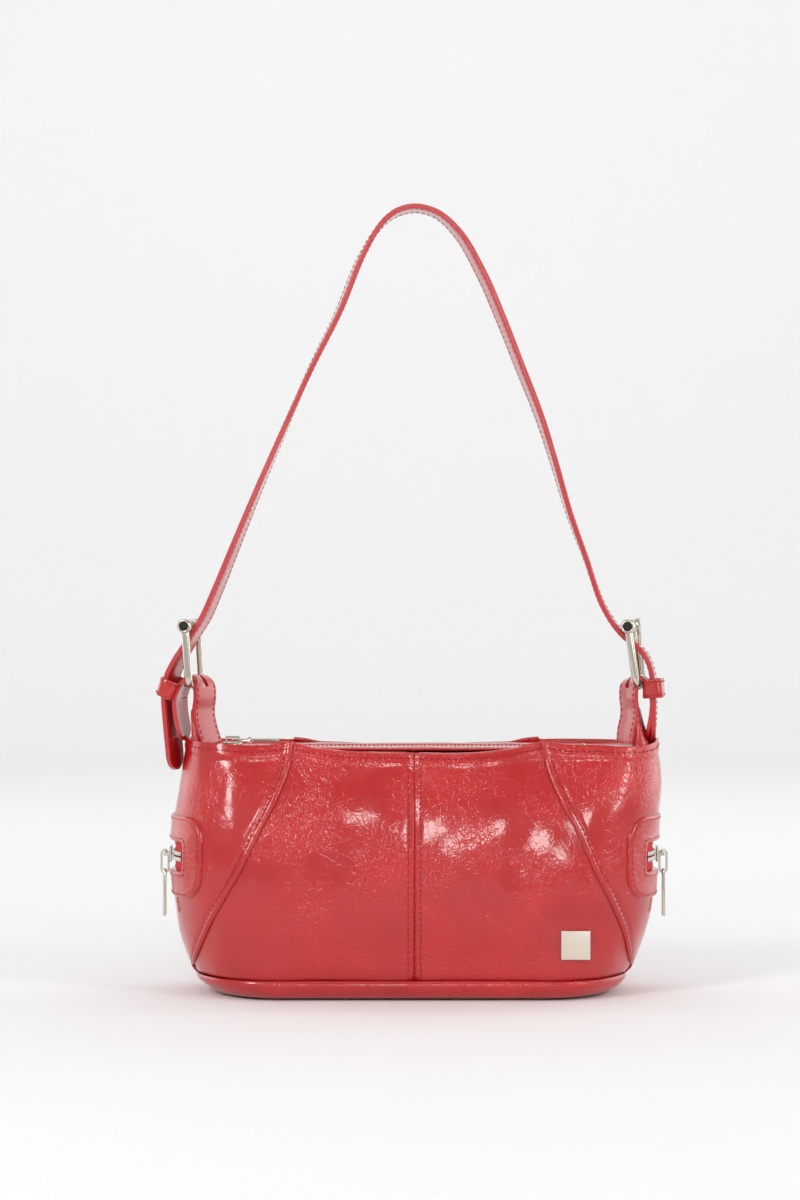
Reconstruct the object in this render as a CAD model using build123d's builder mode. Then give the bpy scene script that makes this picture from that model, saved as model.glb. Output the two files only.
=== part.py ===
from build123d import *
import math
import os

# Small shoulder bag: a boat-shaped leather body with a top zip, a short zip round each end, and a
# strap held by a roller buckle at each end.
# Frame: origin on the ground under the base's centre, X along the bag, -Y its front, +Z up.

# ---- driving dimensions (mm) ----

# body, outside the leather: length, depth and corner radius at four levels
base_length, base_depth, base_radius = 238.0, 74.0, 28.0
hem_length, hem_depth, hem_radius = 254.0, 90.0, 34.0
body_length, body_depth, body_radius = 280.0, 96.0, 47.0
mouth_length, mouth_depth, mouth_radius = 268.0, 58.0, 27.0
hem_height = 12.0
widest_height = 80.0
body_height = 143.0
wall = 1.6
base_floor = 2.0
board_wall = 1.5
lining_gap = 3.0
lining_wall = 0.8
lining_drop = 4.0
gap = 0.3

# side panel seams, measured in from the ends, at the mouth and at the hem
seam_inset_top = 62.5
seam_inset_bottom = 1.0

# patches and side zips
patch_height = 47.0
patch_reach = 19.3
patch_corner = 16.0
patch_wall = 1.4
patch_gap = 0.2
window_height = 17.0
window_reach = 9.0
chain_width = 5.8
chain_slot = 0.9
tooth_length = 1.4
tooth_pitch = 2.5
tooth_height = 2.2
tape_wall = 0.6
chain_depth = 0.5

# sliders, pull links and pull tags
slider_length = 11.0
slider_width = 9.0
slider_wall = 1.2
slider_play = 0.65
web_wall = 0.5
web_length = 4.0
crown_length = 8.4
crown_opening = 2.6
crown_wall = 1.0
crown_width = 2.0
wire = 1.2
link_length = 10.0
link_width = 7.4
tag_length = 17.5
tag_wall = 1.8
tag_end_width = 8.5
eye_width = 4.2
eye_radius = 1.8
eye_bore = 0.95
ring_length = 9.0
ring_inside = 2.9
hang_tag_length = 25.0
hang_tag_wall = 1.6
hang_tag_top = 6.0
hang_tag_margin = 0.5
hang_tag_end = 9.0
hang_bore = 1.3

# main zip
zip_drop = 1.0
flap_end = {"left": 76.0, "right": 84.0}
park = {"left": 106.0, "right": 92.0}
facing_wall = 1.4
facing_width = 13.0
facing_edge_gap = 0.8
end_gap = 0.5
stop_size = 2.0
stop_wall = 1.5

# strap and buckles
strap_width = 20.0
strap_wall = 3.0
strap_yaw = 10.0
strap_bend = 8.0
ear_inset = {"left": 6.0, "right": 3.0}
buckle_tilt = {"left": 4.0, "right": -8.0}
tail_length = {"left": 50.0, "right": 34.0}
tail_splay = {"left": 3.0, "right": 0.3}
low_inset = {"left": 11.0, "right": 18.0}
low_rise = {"left": 51.0, "right": 42.0}
middle_inset = {"left": 51.0, "right": 48.2}
middle_rise = {"left": 148.0, "right": 130.6}
crest_x = -4.6
crest_rise = 320.8
crest_radius = 30.0
leg_radius = 60.0
hole_radius = 2.0
hole_start = 9.0
hole_pitch = 37.0
swing_rise = 14.0
heel_rise = 36.0
buckle_height = 34.0
buckle_inside = 24.0
bar_radius = 2.25
bar_corner = 4.0
roller_radius = 3.75
running_gap = 0.06
prong_wall = 2.4
prong_width = 3.2
prong_reach = 38.0
prong_lift = 2.0
prong_slot = 4.4
strap_slot_height = 17.0
strap_slot_middle = 11.333
chape_wall = 2.5
chape_spread = 5.35
chape_bend = 16.0
ear_wall = 4.0
ear_radius = 8.5
ear_root = 2.0
keeper_height = 11.0
keeper_wall = 1.6
keeper_drop = 3.2
tail_straight = 3.0
tail_lift = 2.0
tail_lean = 0.4

# name plate
plate_size = 16.5
plate_wall = 1.2
plate_x = 91.3
plate_height = 32.5

# ---- derived sizes ----
sides = {"left": -1, "right": 1}
stations = [
    (0.0, base_length, base_depth, base_radius),
    (hem_height, hem_length, hem_depth, hem_radius),
    (widest_height, body_length, body_depth, body_radius),
    (body_height, mouth_length, mouth_depth, mouth_radius),
]
far = body_length
end_x = body_length / 2 - body_radius
seam_top = mouth_length / 2 - seam_inset_top
seam_bottom = hem_length / 2 - seam_inset_bottom
window_x = body_length / 2 - window_reach
patch_x = body_length / 2 - patch_reach
tooth_width = (chain_width - chain_slot) / 2
zip_height = body_height - zip_drop
facing_edge = mouth_depth / 2 - wall - facing_edge_gap
plate_over_chain = tooth_height / 2 + slider_play
swing_height = body_height + swing_rise
heel_height = body_height + heel_rise
ear_x = {side: mouth_length / 2 - ear_inset[side] for side in sides}
chape_loop = bar_radius + gap / 2 + chape_wall / 2
tail_offset = chape_spread + chape_wall / 2 + gap + strap_wall / 2
yaw = math.radians(strap_yaw)
across = Vector(math.sin(yaw), math.cos(yaw), 0)


def outline_at(height):
    """Length, depth and corner radius of the body's outline at a height, between its stations."""
    for low, high in zip(stations, stations[1:]):
        if height <= high[0]:
            share = (height - low[0]) / (high[0] - low[0])
            return [a + (b - a) * share for a, b in zip(low[1:], high[1:])]
    return list(stations[-1][1:])


def body_solid(bottom, top, inset):
    """The body's volume between two heights, drawn in by an inset, or let out if it is negative."""
    levels = [bottom] + [s[0] for s in stations if bottom < s[0] < top] + [top]
    with BuildPart() as volume:
        for height in levels:
            length, depth, radius = outline_at(height)
            with BuildSketch(Plane.XY.offset(height)):
                RectangleRounded(length - 2 * inset, depth - 2 * inset, radius - inset)
        loft(ruled=True)
    return volume.part


def skin(bottom, top, inset, thickness):
    """A tube of leather that follows the body's outline."""
    with BuildPart() as tube:
        add(body_solid(bottom, top, inset))
        add(body_solid(bottom, top, inset + thickness), mode=Mode.SUBTRACT)
    return tube.part


def finish(builder, name):
    """Label a finished piece and write it."""
    builder.part.label = name
    export_step(builder.part, f"parts/{name}.step")


def outward(side):
    """Unit vector that points away from the bag's middle, square to the strap's turned width."""
    s = sides[side]
    return Vector(s * math.cos(yaw), -s * math.sin(yaw), 0)


def profile_plane(side, tilt=0.0):
    """Plane at the heel bar: its x points outward, its y up the buckle, its normal along the bar."""
    origin = (sides[side] * ear_x[side], 0, heel_height)
    up = Vector(0, 0, 1)
    lean_out = math.radians(tilt)
    leaned = outward(side) * math.cos(lean_out) - up * math.sin(lean_out)
    return Plane(origin=origin, x_dir=leaned, z_dir=outward(side).cross(up))


def face_plane(side, tilt=0.0):
    """Plane at the heel bar: its y points up the buckle and its normal outward."""
    profile = profile_plane(side, tilt)
    return Plane(origin=profile.origin, x_dir=-profile.z_dir, z_dir=profile.x_dir)


os.makedirs("parts", exist_ok=True)
leather = skin(hem_height, body_height, 0.0, wall)

# ---- body panels: the leather tube, cut along the centre and diagonal seams ----
for face, reach in (("front", far), ("back", -far)):
    for side, s in sides.items():
        with BuildPart() as panel:
            add(leather)
            with BuildSketch(Plane.XZ):
                with BuildLine():
                    Polyline(
                        (0, hem_height),
                        (s * seam_bottom, hem_height),
                        (s * seam_top, body_height),
                        (0, body_height),
                        close=True,
                    )
                make_face()
            extrude(amount=reach, mode=Mode.INTERSECT)
        finish(panel, f"{face}_panel_{side}")


def window(margin=0.0):
    """Sketch of the zip window, seen from the front, out past the end of the bag."""
    with BuildSketch(Plane.XZ) as opening:
        with Locations((0, widest_height)):
            Rectangle(2 * far, window_height - 2 * margin)
            Rectangle(2 * (window_x + margin), window_height, mode=Mode.SUBTRACT)
    return opening.sketch


for side, s in sides.items():
    # side panel with the ear that its gathered top makes
    with BuildPart() as side_panel:
        add(leather)
        with BuildSketch(Plane.XZ):
            with BuildLine():
                Polyline(
                    (s * seam_bottom, hem_height),
                    (s * far, hem_height),
                    (s * far, body_height),
                    (s * seam_top, body_height),
                    close=True,
                )
            make_face()
        extrude(amount=far, both=True, mode=Mode.INTERSECT)
        extrude(window(), amount=far, both=True, mode=Mode.SUBTRACT)
        root_base = zip_height + facing_wall / 2
        with BuildSketch(Plane.YZ.offset(s * ear_x[side])):
            with Locations((0, swing_height)):
                Circle(ear_radius)
            with Locations((0, (root_base + swing_height) / 2)):
                Rectangle(2 * ear_radius, swing_height - root_base)
        extrude(amount=ear_wall / 2, both=True)
        root_inner = ear_x[side] - ear_wall / 2
        root_length = mouth_length / 2 - root_inner
        with Locations((s * (root_inner + root_length / 2), 0, root_base + ear_root / 2)):
            Box(root_length, 2 * ear_radius, ear_root)
    finish(side_panel, f"side_panel_{side}")

    # curved patch with its window
    with BuildPart() as patch:
        patch_low = widest_height - patch_height / 2
        add(skin(patch_low, patch_low + patch_height, -patch_gap - patch_wall, patch_wall))
        with BuildSketch(Plane.XZ) as patch_outline:
            with Locations((s * (patch_x + far / 2), widest_height)):
                Rectangle(far, patch_height)
            fillet(patch_outline.vertices().group_by(Axis.X)[0 if s > 0 else -1], patch_corner)
        extrude(amount=far, both=True, mode=Mode.INTERSECT)
        extrude(window(), amount=far, both=True, mode=Mode.SUBTRACT)
    finish(patch, f"patch_{side}")

    # side zip: two strips of tape in the window, and two rows of teeth along their edges
    chain_radius = body_radius - chain_depth
    with BuildPart() as tape:
        with BuildSketch(Plane.XY.offset(widest_height)):
            with Locations((s * end_x, 0)):
                Circle(chain_radius + tape_wall / 2)
                Circle(chain_radius - tape_wall / 2, mode=Mode.SUBTRACT)
        extrude(amount=window_height / 2, both=True)
        extrude(window(gap), amount=far, both=True, mode=Mode.INTERSECT)
        with Locations((s * body_length / 2, 0, widest_height)):
            Box(body_length / 2, body_depth, chain_width, mode=Mode.SUBTRACT)
        keep_side = Plane.YZ if s > 0 else -Plane.YZ
        split(bisect_by=keep_side)
    finish(tape, f"side_zip_tape_{side}")

    tooth_turn = math.degrees(tooth_pitch / chain_radius)
    half_turn = math.degrees(math.acos((window_x + tooth_pitch - end_x) / chain_radius))
    row_count = int(half_turn / tooth_turn)
    with BuildPart() as teeth:
        for step in range(-row_count, row_count + 1):
            turn = math.radians(step * tooth_turn)
            spot_x = s * (end_x + chain_radius * math.cos(turn))
            spot_y = chain_radius * math.sin(turn)
            for row in (-1, 1):
                spot_z = widest_height + row * (chain_slot + tooth_width) / 2
                with Locations(Location((spot_x, spot_y, spot_z), (0, 0, s * math.degrees(turn)))):
                    Box(tooth_height, tooth_length, tooth_width)
    finish(teeth, f"side_zip_teeth_{side}")

# ---- base ----
with BuildPart() as base_panel:
    add(body_solid(0, hem_height, 0))
    add(body_solid(base_floor, hem_height, wall), mode=Mode.SUBTRACT)
finish(base_panel, "base_panel")

with BuildPart() as base_board:
    floor_length, floor_depth, floor_radius = outline_at(base_floor)
    edge = wall + gap
    with BuildSketch(Plane.XY.offset(base_floor)):
        RectangleRounded(floor_length - 2 * edge, floor_depth - 2 * edge, floor_radius - edge)
    extrude(amount=board_wall)
finish(base_board, "base_board")

with BuildPart() as lining:
    lining_floor = base_floor + board_wall + gap
    lining_top = body_height - lining_drop
    lining_inset = wall + lining_gap
    add(body_solid(lining_floor, lining_top, lining_inset))
    hollow = body_solid(lining_floor + lining_wall, lining_top, lining_inset + lining_wall)
    add(hollow, mode=Mode.SUBTRACT)
finish(lining, "lining")

# ---- name plate, bare, on the front ----
lean = math.atan2((body_depth - hem_depth) / 2, widest_height - hem_height)
plate_y = -outline_at(plate_height)[1] / 2 - gap
plate_origin = (plate_x, plate_y, plate_height)
plate_plane = Plane(origin=plate_origin, x_dir=(1, 0, 0), z_dir=(0, -math.cos(lean), -math.sin(lean)))
with BuildPart() as name_plate:
    with BuildSketch(plate_plane):
        Rectangle(plate_size, plate_size)
    extrude(amount=plate_wall)
finish(name_plate, "name_plate")

# ---- main zip: fixed ends of the mouth, and a facing, tape and row of teeth on each flap ----
end_teeth_spots = []
for side, s in sides.items():
    slot_start = flap_end[side] + end_gap
    slot_step = park[side] - slider_length / 2 - end_gap
    slot_end = park[side] + web_length / 2 + 2 * end_gap
    with BuildPart() as mouth_end:
        edge = wall + gap
        with BuildSketch(Plane.XY.offset(zip_height)):
            RectangleRounded(mouth_length - 2 * edge, mouth_depth - 2 * edge, mouth_radius - edge)
            with Locations((s * (slot_start - far / 2), 0)):
                Rectangle(far, far, mode=Mode.SUBTRACT)
            with Locations((s * (slot_start + slot_step) / 2, 0)):
                Rectangle(slot_step - slot_start, chain_width, mode=Mode.SUBTRACT)
            with Locations((s * (slot_start + slot_end) / 2, 0)):
                Rectangle(slot_end - slot_start, chain_slot, mode=Mode.SUBTRACT)
        extrude(amount=facing_wall / 2, both=True)
    finish(mouth_end, f"mouth_end_{side}")
    tooth_count = int((slot_step - slot_start) / tooth_pitch)
    end_teeth_spots += [s * (slot_start + tooth_pitch * (i + 0.5)) for i in range(tooth_count)]


def tooth_row(spots, row):
    """One row of teeth along X, on the side of the slot that row gives."""
    for spot in spots:
        with Locations((spot, row * (chain_slot + tooth_width) / 2, zip_height)):
            Box(tooth_length, tooth_width, tooth_height)


with BuildPart() as zip_teeth_ends:
    tooth_row(end_teeth_spots, -1)
    tooth_row(end_teeth_spots, 1)
finish(zip_teeth_ends, "zip_teeth_ends")

with BuildPart() as zip_stops:
    for side, s in sides.items():
        stop_x = s * (park[side] + slider_length / 2 + end_gap + stop_size / 2)
        for row in (-1, 1):
            stop_y = row * (chain_slot + stop_size) / 2
            with Locations((stop_x, stop_y, zip_height + (facing_wall + stop_wall) / 2)):
                Box(stop_size, stop_size, stop_wall)
finish(zip_stops, "zip_stops")

flap_length = flap_end["left"] + flap_end["right"]
flap_x = (flap_end["right"] - flap_end["left"]) / 2
facing_inner = facing_edge - facing_width
for face, row in (("front", -1), ("back", 1)):
    with BuildPart() as facing:
        with Locations((flap_x, row * (facing_edge + facing_inner) / 2, zip_height)):
            Box(flap_length, facing_width, facing_wall)
    finish(facing, f"facing_{face}")

    with BuildPart() as tape:
        with Locations((flap_x, row * (facing_inner + chain_width / 2) / 2, zip_height)):
            Box(flap_length, facing_inner - chain_width / 2, tape_wall)
    finish(tape, f"zip_tape_{face}")

    with BuildPart() as teeth:
        tooth_count = int(flap_length / tooth_pitch)
        first = flap_x - (tooth_count - 1) * tooth_pitch / 2
        tooth_row([first + i * tooth_pitch for i in range(tooth_count)], row)
    finish(teeth, f"zip_teeth_{face}")


# ---- sliders and pullers ----
def slider_on(plane, name):
    """A slider on a chain: its plane lies in the chain, x along the travel, its normal outward."""
    with BuildPart(plane) as slider:
        for level in (-1, 1):
            with Locations((0, 0, level * (plate_over_chain + slider_wall / 2))):
                Box(slider_length, slider_width, slider_wall)
        Box(web_length, web_wall, 2 * plate_over_chain + slider_wall)
        plate_top = plate_over_chain + slider_wall
        for end in (-1, 1):
            with Locations((end * (crown_length - crown_wall) / 2, 0, plate_top + crown_opening / 2)):
                Box(crown_wall, crown_width, crown_opening)
        with Locations((0, 0, plate_top + crown_opening + crown_wall / 2)):
            Box(crown_length, crown_width, crown_wall)
    finish(slider, name)


slider_origin = Vector(-park["left"], 0, zip_height)
slider_on(Plane(origin=slider_origin), "zip_slider")

pull_height = plate_over_chain + slider_wall + crown_opening / 2
with BuildPart() as zip_pull_link:
    with BuildSketch(Plane(origin=slider_origin + Vector(0, 0, pull_height))):
        with Locations((link_length / 2, 0)):
            Rectangle(link_length + wire, link_width)
            Rectangle(link_length - wire, link_width - 2 * wire, mode=Mode.SUBTRACT)
    extrude(amount=wire / 2, both=True)
finish(zip_pull_link, "zip_pull_link")

eye_origin = slider_origin + Vector(link_length, 0, pull_height)
with BuildPart() as zip_pull_tag:
    with BuildSketch(Plane(origin=eye_origin)):
        with BuildLine():
            Polyline(
                (0, -eye_width / 2),
                (eye_radius + wire, -eye_width / 2),
                (tag_length, -tag_end_width / 2),
                (tag_length, tag_end_width / 2),
                (eye_radius + wire, eye_width / 2),
                (0, eye_width / 2),
                close=True,
            )
        make_face()
    extrude(amount=tag_wall / 2, both=True)
    with BuildSketch(Plane(origin=eye_origin, z_dir=(0, 1, 0))):
        Circle(eye_radius)
    extrude(amount=eye_width / 2, both=True)
    with BuildSketch(Plane(origin=eye_origin, z_dir=(0, 1, 0))):
        Circle(eye_bore)
    extrude(amount=eye_width, both=True, mode=Mode.SUBTRACT)
finish(zip_pull_tag, "zip_pull_tag")

for side, s in sides.items():
    chain_x = s * (end_x + body_radius - chain_depth)
    chain_plane = Plane(origin=(chain_x, 0, widest_height), x_dir=(0, 1, 0), z_dir=(s, 0, 0))
    slider_on(chain_plane, f"side_slider_{side}")

    strip_x = chain_x + s * (plate_over_chain + slider_wall + crown_opening + crown_wall / 2)
    with BuildPart() as ring:
        with BuildSketch(Plane(origin=(strip_x, 0, widest_height), x_dir=(0, 0, -1), z_dir=(0, 1, 0))):
            with Locations((ring_length / 2, 0)):
                SlotCenterToCenter(ring_length, ring_inside + 2 * wire)
                SlotCenterToCenter(ring_length, ring_inside, mode=Mode.SUBTRACT)
        extrude(amount=wire / 2, both=True)
    finish(ring, f"side_pull_link_{side}")

    bore_height = widest_height - ring_length - ring_inside / 2 - wire / 2
    with BuildPart() as tag:
        with BuildSketch(Plane(origin=(strip_x, 0, bore_height), x_dir=(0, 1, 0), z_dir=(1, 0, 0))):
            Circle(hang_tag_top / 2 - hang_tag_margin)
            with BuildLine():
                Polyline(
                    (-hang_tag_top / 2 + hang_tag_margin, 0),
                    (-hang_tag_end / 2, -hang_tag_length),
                    (hang_tag_end / 2, -hang_tag_length),
                    (hang_tag_top / 2 - hang_tag_margin, 0),
                    close=True,
                )
            make_face()
            Circle(hang_bore, mode=Mode.SUBTRACT)
        extrude(amount=hang_tag_wall / 2, both=True)
    finish(tag, f"side_pull_tag_{side}")


# ---- buckles, chapes and keepers, one set at each end ----
def profile_point(side, out, up, tilt=0.0):
    """Point of a buckle's profile as seen from the front, projected along the strap's width."""
    lean_out = math.radians(tilt)
    level = out * math.cos(lean_out) + up * math.sin(lean_out)
    rise = up * math.cos(lean_out) - out * math.sin(lean_out)
    return (sides[side] * (ear_x[side] + level / math.cos(yaw)), heel_height + rise)


for side, s in sides.items():
    tilted = face_plane(side, buckle_tilt[side])
    half_frame = (buckle_inside + 2 * bar_radius) / 2
    with BuildPart() as buckle_frame:
        with BuildLine(tilted) as frame_path:
            FilletPolyline(
                (0, 0),
                (half_frame, 0),
                (half_frame, buckle_height),
                (-half_frame, buckle_height),
                (-half_frame, 0),
                (-half_frame / 2, 0),
                radius=bar_corner,
            )
            Line((-half_frame / 2, 0), (0, 0))
        with BuildSketch(Plane(origin=frame_path.line @ 0, z_dir=frame_path.line % 0)):
            Circle(bar_radius)
        sweep()
    finish(buckle_frame, f"buckle_frame_{side}")

    tilted_profile = profile_plane(side, buckle_tilt[side])
    roller_length = 2 * (half_frame - bar_corner - gap)
    with BuildPart() as roller:
        with BuildSketch(tilted_profile):
            with Locations((0, buckle_height)):
                Circle(roller_radius)
                Circle(bar_radius + running_gap, mode=Mode.SUBTRACT)
        extrude(amount=roller_length / 2, both=True)
    finish(roller, f"buckle_roller_{side}")

    # prong: a ring round the heel bar and an arm that rests on the roller
    prong_foot = bar_radius + running_gap + prong_wall / 4
    prong_head = roller_radius + gap + prong_wall / 2
    with BuildPart() as prong:
        with BuildSketch(tilted_profile):
            with BuildLine():
                Polyline(
                    (prong_foot - prong_wall / 2, 0),
                    (prong_foot + prong_wall / 2, 0),
                    (prong_head + prong_wall / 2, prong_reach),
                    (prong_head - prong_wall / 2, prong_reach),
                    close=True,
                )
            make_face()
            Circle(bar_radius + running_gap + prong_wall / 2)
            Circle(bar_radius + running_gap, mode=Mode.SUBTRACT)
        extrude(amount=prong_width / 2, both=True)
    finish(prong, f"buckle_prong_{side}")

    # chape: a leather loop over the heel bar, slotted for the prong, whose legs straddle the ear
    leg_bottom = swing_height - heel_height - strap_width / 2
    with BuildPart() as chape:
        with BuildSketch(profile_plane(side)):
            with BuildLine():
                Polyline((chape_spread, leg_bottom), (chape_spread, -chape_bend), (chape_loop, 0))
                ThreePointArc((chape_loop, 0), (0, chape_loop), (-chape_loop, 0))
                Polyline((-chape_loop, 0), (-chape_spread, -chape_bend), (-chape_spread, leg_bottom))
            trace(line_width=chape_wall)
        extrude(amount=strap_width / 2, both=True)
        with BuildSketch(face_plane(side)):
            with Locations((0, leg_bottom + strap_width / 2)):
                Circle(strap_width / 2)
            with Locations((0, (leg_bottom + strap_width) / 2)):
                Rectangle(strap_width, -leg_bottom)
        extrude(amount=strap_width, both=True, mode=Mode.INTERSECT)
        with BuildSketch(face_plane(side)):
            with Locations((0, chape_loop)):
                Rectangle(prong_slot, 2 * chape_loop + strap_width / 2)
        extrude(amount=strap_width, both=True, mode=Mode.SUBTRACT)
    finish(chape, f"chape_{side}")

    # keeper: a loop round the chape's legs and the strap's tail
    keeper_inner = -(chape_spread + chape_wall / 2 + gap)
    keeper_outer = tail_offset + strap_wall / 2 + gap
    with BuildPart() as keeper:
        keeper_plane = face_plane(side)
        keeper_plane = Plane(
            origin=keeper_plane.origin - Vector(0, 0, keeper_drop),
            x_dir=keeper_plane.x_dir,
            z_dir=(0, 0, 1),
        )
        middle = (keeper_inner + keeper_outer) / 2
        # how far the plane's y goes along the way out: its sign tells the keeper's outer side
        y_out = keeper_plane.y_dir.dot(outward(side))
        with BuildSketch(keeper_plane):
            with Locations((0, y_out * middle)):
                span = keeper_outer - keeper_inner
                breadth = strap_width + 2 * (gap + tail_offset * math.tan(yaw))
                Rectangle(breadth + 2 * keeper_wall, span + 2 * keeper_wall)
                Rectangle(breadth, span, mode=Mode.SUBTRACT)
        extrude(amount=-keeper_height)
    finish(keeper, f"keeper_{side}")

# ---- strap: tail, up through the left buckle, over the arch, down through the right, tail ----
route = {}
for side, s in sides.items():
    route[side] = [
        profile_point(side, tail_offset + tail_splay[side], -tail_length[side]),
        profile_point(side, tail_offset, -keeper_drop - keeper_height - 2 * end_gap - tail_straight),
        profile_point(side, tail_offset - tail_lean, tail_lift, buckle_tilt[side]),
        (s * (ear_x[side] - low_inset[side]), heel_height + low_rise[side]),
        (s * (ear_x[side] - middle_inset[side]), heel_height + middle_rise[side]),
    ]
crest = (crest_x, heel_height + crest_rise)
bends = [strap_bend, strap_bend, leg_radius, 2 * leg_radius]
with BuildPart() as strap:
    with BuildSketch(Plane.XZ):
        with BuildLine():
            FilletPolyline(
                *route["left"],
                crest,
                *reversed(route["right"]),
                radius=bends + [crest_radius] + bends[::-1],
            )
        trace(line_width=strap_wall)
    extrude(amount=strap_width / 2, dir=across, both=True)
    for side, s in sides.items():
        low = Vector(route[side][3][0], 0, route[side][3][1])
        along = (Vector(route[side][4][0], 0, route[side][4][1]) - low).normalized()
        for index in range(2):
            spot = low + along * (hole_start + index * hole_pitch)
            with BuildSketch(Plane(origin=spot, x_dir=across, z_dir=along.cross(across))):
                Circle(hole_radius)
            extrude(amount=2 * strap_wall, both=True, mode=Mode.SUBTRACT)
        with BuildSketch(profile_plane(side, buckle_tilt[side])):
            with Locations((prong_foot + prong_lift, strap_slot_middle)):
                Rectangle(prong_wall + 2 * prong_lift, strap_slot_height)
        extrude(amount=prong_width / 2 + gap, both=True, mode=Mode.SUBTRACT)
finish(strap, "strap")
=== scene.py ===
import math
import bmesh
import bpy
import numpy as np
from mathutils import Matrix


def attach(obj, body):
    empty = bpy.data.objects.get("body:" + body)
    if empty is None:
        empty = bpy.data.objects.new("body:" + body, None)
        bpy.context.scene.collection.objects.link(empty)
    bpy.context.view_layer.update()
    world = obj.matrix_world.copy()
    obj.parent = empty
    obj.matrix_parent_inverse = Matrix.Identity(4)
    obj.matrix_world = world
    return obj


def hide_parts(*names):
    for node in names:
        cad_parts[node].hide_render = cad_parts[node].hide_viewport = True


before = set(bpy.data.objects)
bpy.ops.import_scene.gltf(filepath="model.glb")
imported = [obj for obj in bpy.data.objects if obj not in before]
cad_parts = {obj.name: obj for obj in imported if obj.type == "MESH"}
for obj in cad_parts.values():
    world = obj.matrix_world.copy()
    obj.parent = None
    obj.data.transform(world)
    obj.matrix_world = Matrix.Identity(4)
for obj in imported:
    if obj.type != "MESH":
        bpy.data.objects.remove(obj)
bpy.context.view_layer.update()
MM = 0.001
SIDES = {"left": -1, "right": 1}


# ---------------------------------------------------------------- numbers and curves
def smooth_through(at, values, where):
    """Cubic curve through the given values, with the slope at each one taken from its two neighbours."""
    at = np.asarray(at, float)
    values = np.asarray(values, float)
    where = np.clip(np.asarray(where, float), at[0], at[-1])
    slopes = np.gradient(values, at, axis=0)
    i = np.clip(np.searchsorted(at, where, side="right") - 1, 0, len(at) - 2)
    h = at[i + 1] - at[i]
    t = (where - at[i]) / h
    if values.ndim > 1:
        h = h[..., None]
        t = t[..., None]
    a = values[i] * (1 + 2 * t) * (1 - t) ** 2 + slopes[i] * h * t * (1 - t) ** 2
    b = values[i + 1] * (3 - 2 * t) * t ** 2 - slopes[i + 1] * h * t ** 2 * (1 - t)
    return a + b


def step(low, high, where):
    """Smooth step: 0 below low, 1 above high, and an S between them."""
    t = np.clip((where - low) / (high - low), 0, 1)
    return t * t * (3 - 2 * t)


def bump_at(where, centre, width):
    """Bell curve of height 1 round a centre."""
    return np.exp(-(((where - centre) / width) ** 2))


def round_end(share, least):
    """Width towards a round end: 1 up to share 0, then down a quarter circle, with the square kept at
    the least value or more."""
    return np.sqrt(np.clip(1 - np.clip(share, 0, 1) ** 2, least, 1))


def unit(vectors):
    """Vectors scaled to length 1 along the last axis."""
    return vectors / np.maximum(np.linalg.norm(vectors, axis=-1, keepdims=True), 1e-9)


def spread(path, count):
    """The path's points moved to equal steps of its length."""
    lengths = np.concatenate([[0], np.cumsum(np.linalg.norm(np.diff(path, axis=0), axis=1))])
    even = np.linspace(0, lengths[-1], count)
    return np.stack([np.interp(even, lengths, path[:, k]) for k in range(3)], axis=1)


def path_length(path):
    """Length of a path of points."""
    return float(np.linalg.norm(np.diff(path, axis=0), axis=1).sum())


# ---------------------------------------------------------------- meshes
def mesh_object(name, points, faces, material, smooth=True):
    """Object from points in millimetres and a list of faces."""
    mesh = bpy.data.meshes.new(name)
    mesh.from_pydata((np.asarray(points).reshape(-1, 3) * MM).tolist(), [], faces)
    mesh.update()
    mesh.materials.append(material)
    if smooth:
        mesh.polygons.foreach_set("use_smooth", np.ones(len(mesh.polygons), bool))
    obj = bpy.data.objects.new(name, mesh)
    bpy.context.collection.objects.link(obj)
    return obj


def grid_faces(rows, columns, wrap_rows=False, wrap_columns=False, flip=False):
    """Four-sided faces of a grid of rows by columns, closed on itself where wrapped."""
    i = np.arange(rows if wrap_rows else rows - 1)[:, None]
    j = np.arange(columns if wrap_columns else columns - 1)[None, :]
    i2 = (i + 1) % rows
    j2 = (j + 1) % columns
    corners = [i * columns + j, i2 * columns + j, i2 * columns + j2, i * columns + j2]
    if flip:
        corners = corners[::-1]
    return np.stack([c + 0 * i + 0 * j for c in corners], axis=-1).reshape(-1, 4).tolist()


def ring_object(name, points, material, flip=False):
    """Object from a grid of points whose rows close on themselves."""
    faces = grid_faces(*points.shape[:2], wrap_columns=True, flip=flip)
    return mesh_object(name, points, faces, material)


def thicken(obj, wall):
    """Wall grown inward from a sheet."""
    solid = obj.modifiers.new("wall", "SOLIDIFY")
    solid.thickness = wall * MM
    solid.offset = -1
    return solid


def round_edges(obj, width, segments, angle):
    """Rounding of the edges that turn by more than an angle."""
    bevel = obj.modifiers.new("rounding", "BEVEL")
    bevel.width = width * MM
    bevel.segments = segments
    bevel.limit_method = "ANGLE"
    bevel.angle_limit = math.radians(angle)
    return bevel


def sheet_object(name, points, material, wall, flip=False, rim=0.0):
    """Leather sheet: a grid of points with its wall grown inward, and its rim rounded over."""
    rows, columns = points.shape[:2]
    obj = mesh_object(name, points, grid_faces(rows, columns, flip=flip), material)
    thicken(obj, wall)
    if rim:
        round_edges(obj, rim, 2, 50)
    return obj


def carried(name, path, across, up, profile, material, wrap=False, flip=False):
    """Closed profile carried along a path: its two coordinates lie along across and up."""
    points = (
        path[:, None, :]
        + profile[..., 0:1] * across[:, None, :]
        + profile[..., 1:2] * up[:, None, :]
    )
    rows, columns = points.shape[:2]
    faces = grid_faces(rows, columns, wrap_rows=wrap, wrap_columns=True, flip=flip)
    if not wrap:
        first = list(range(columns))
        last = [(rows - 1) * columns + k for k in range(columns)]
        faces += [first, last[::-1]] if not flip else [first[::-1], last]
    return mesh_object(name, points, faces, material)


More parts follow.
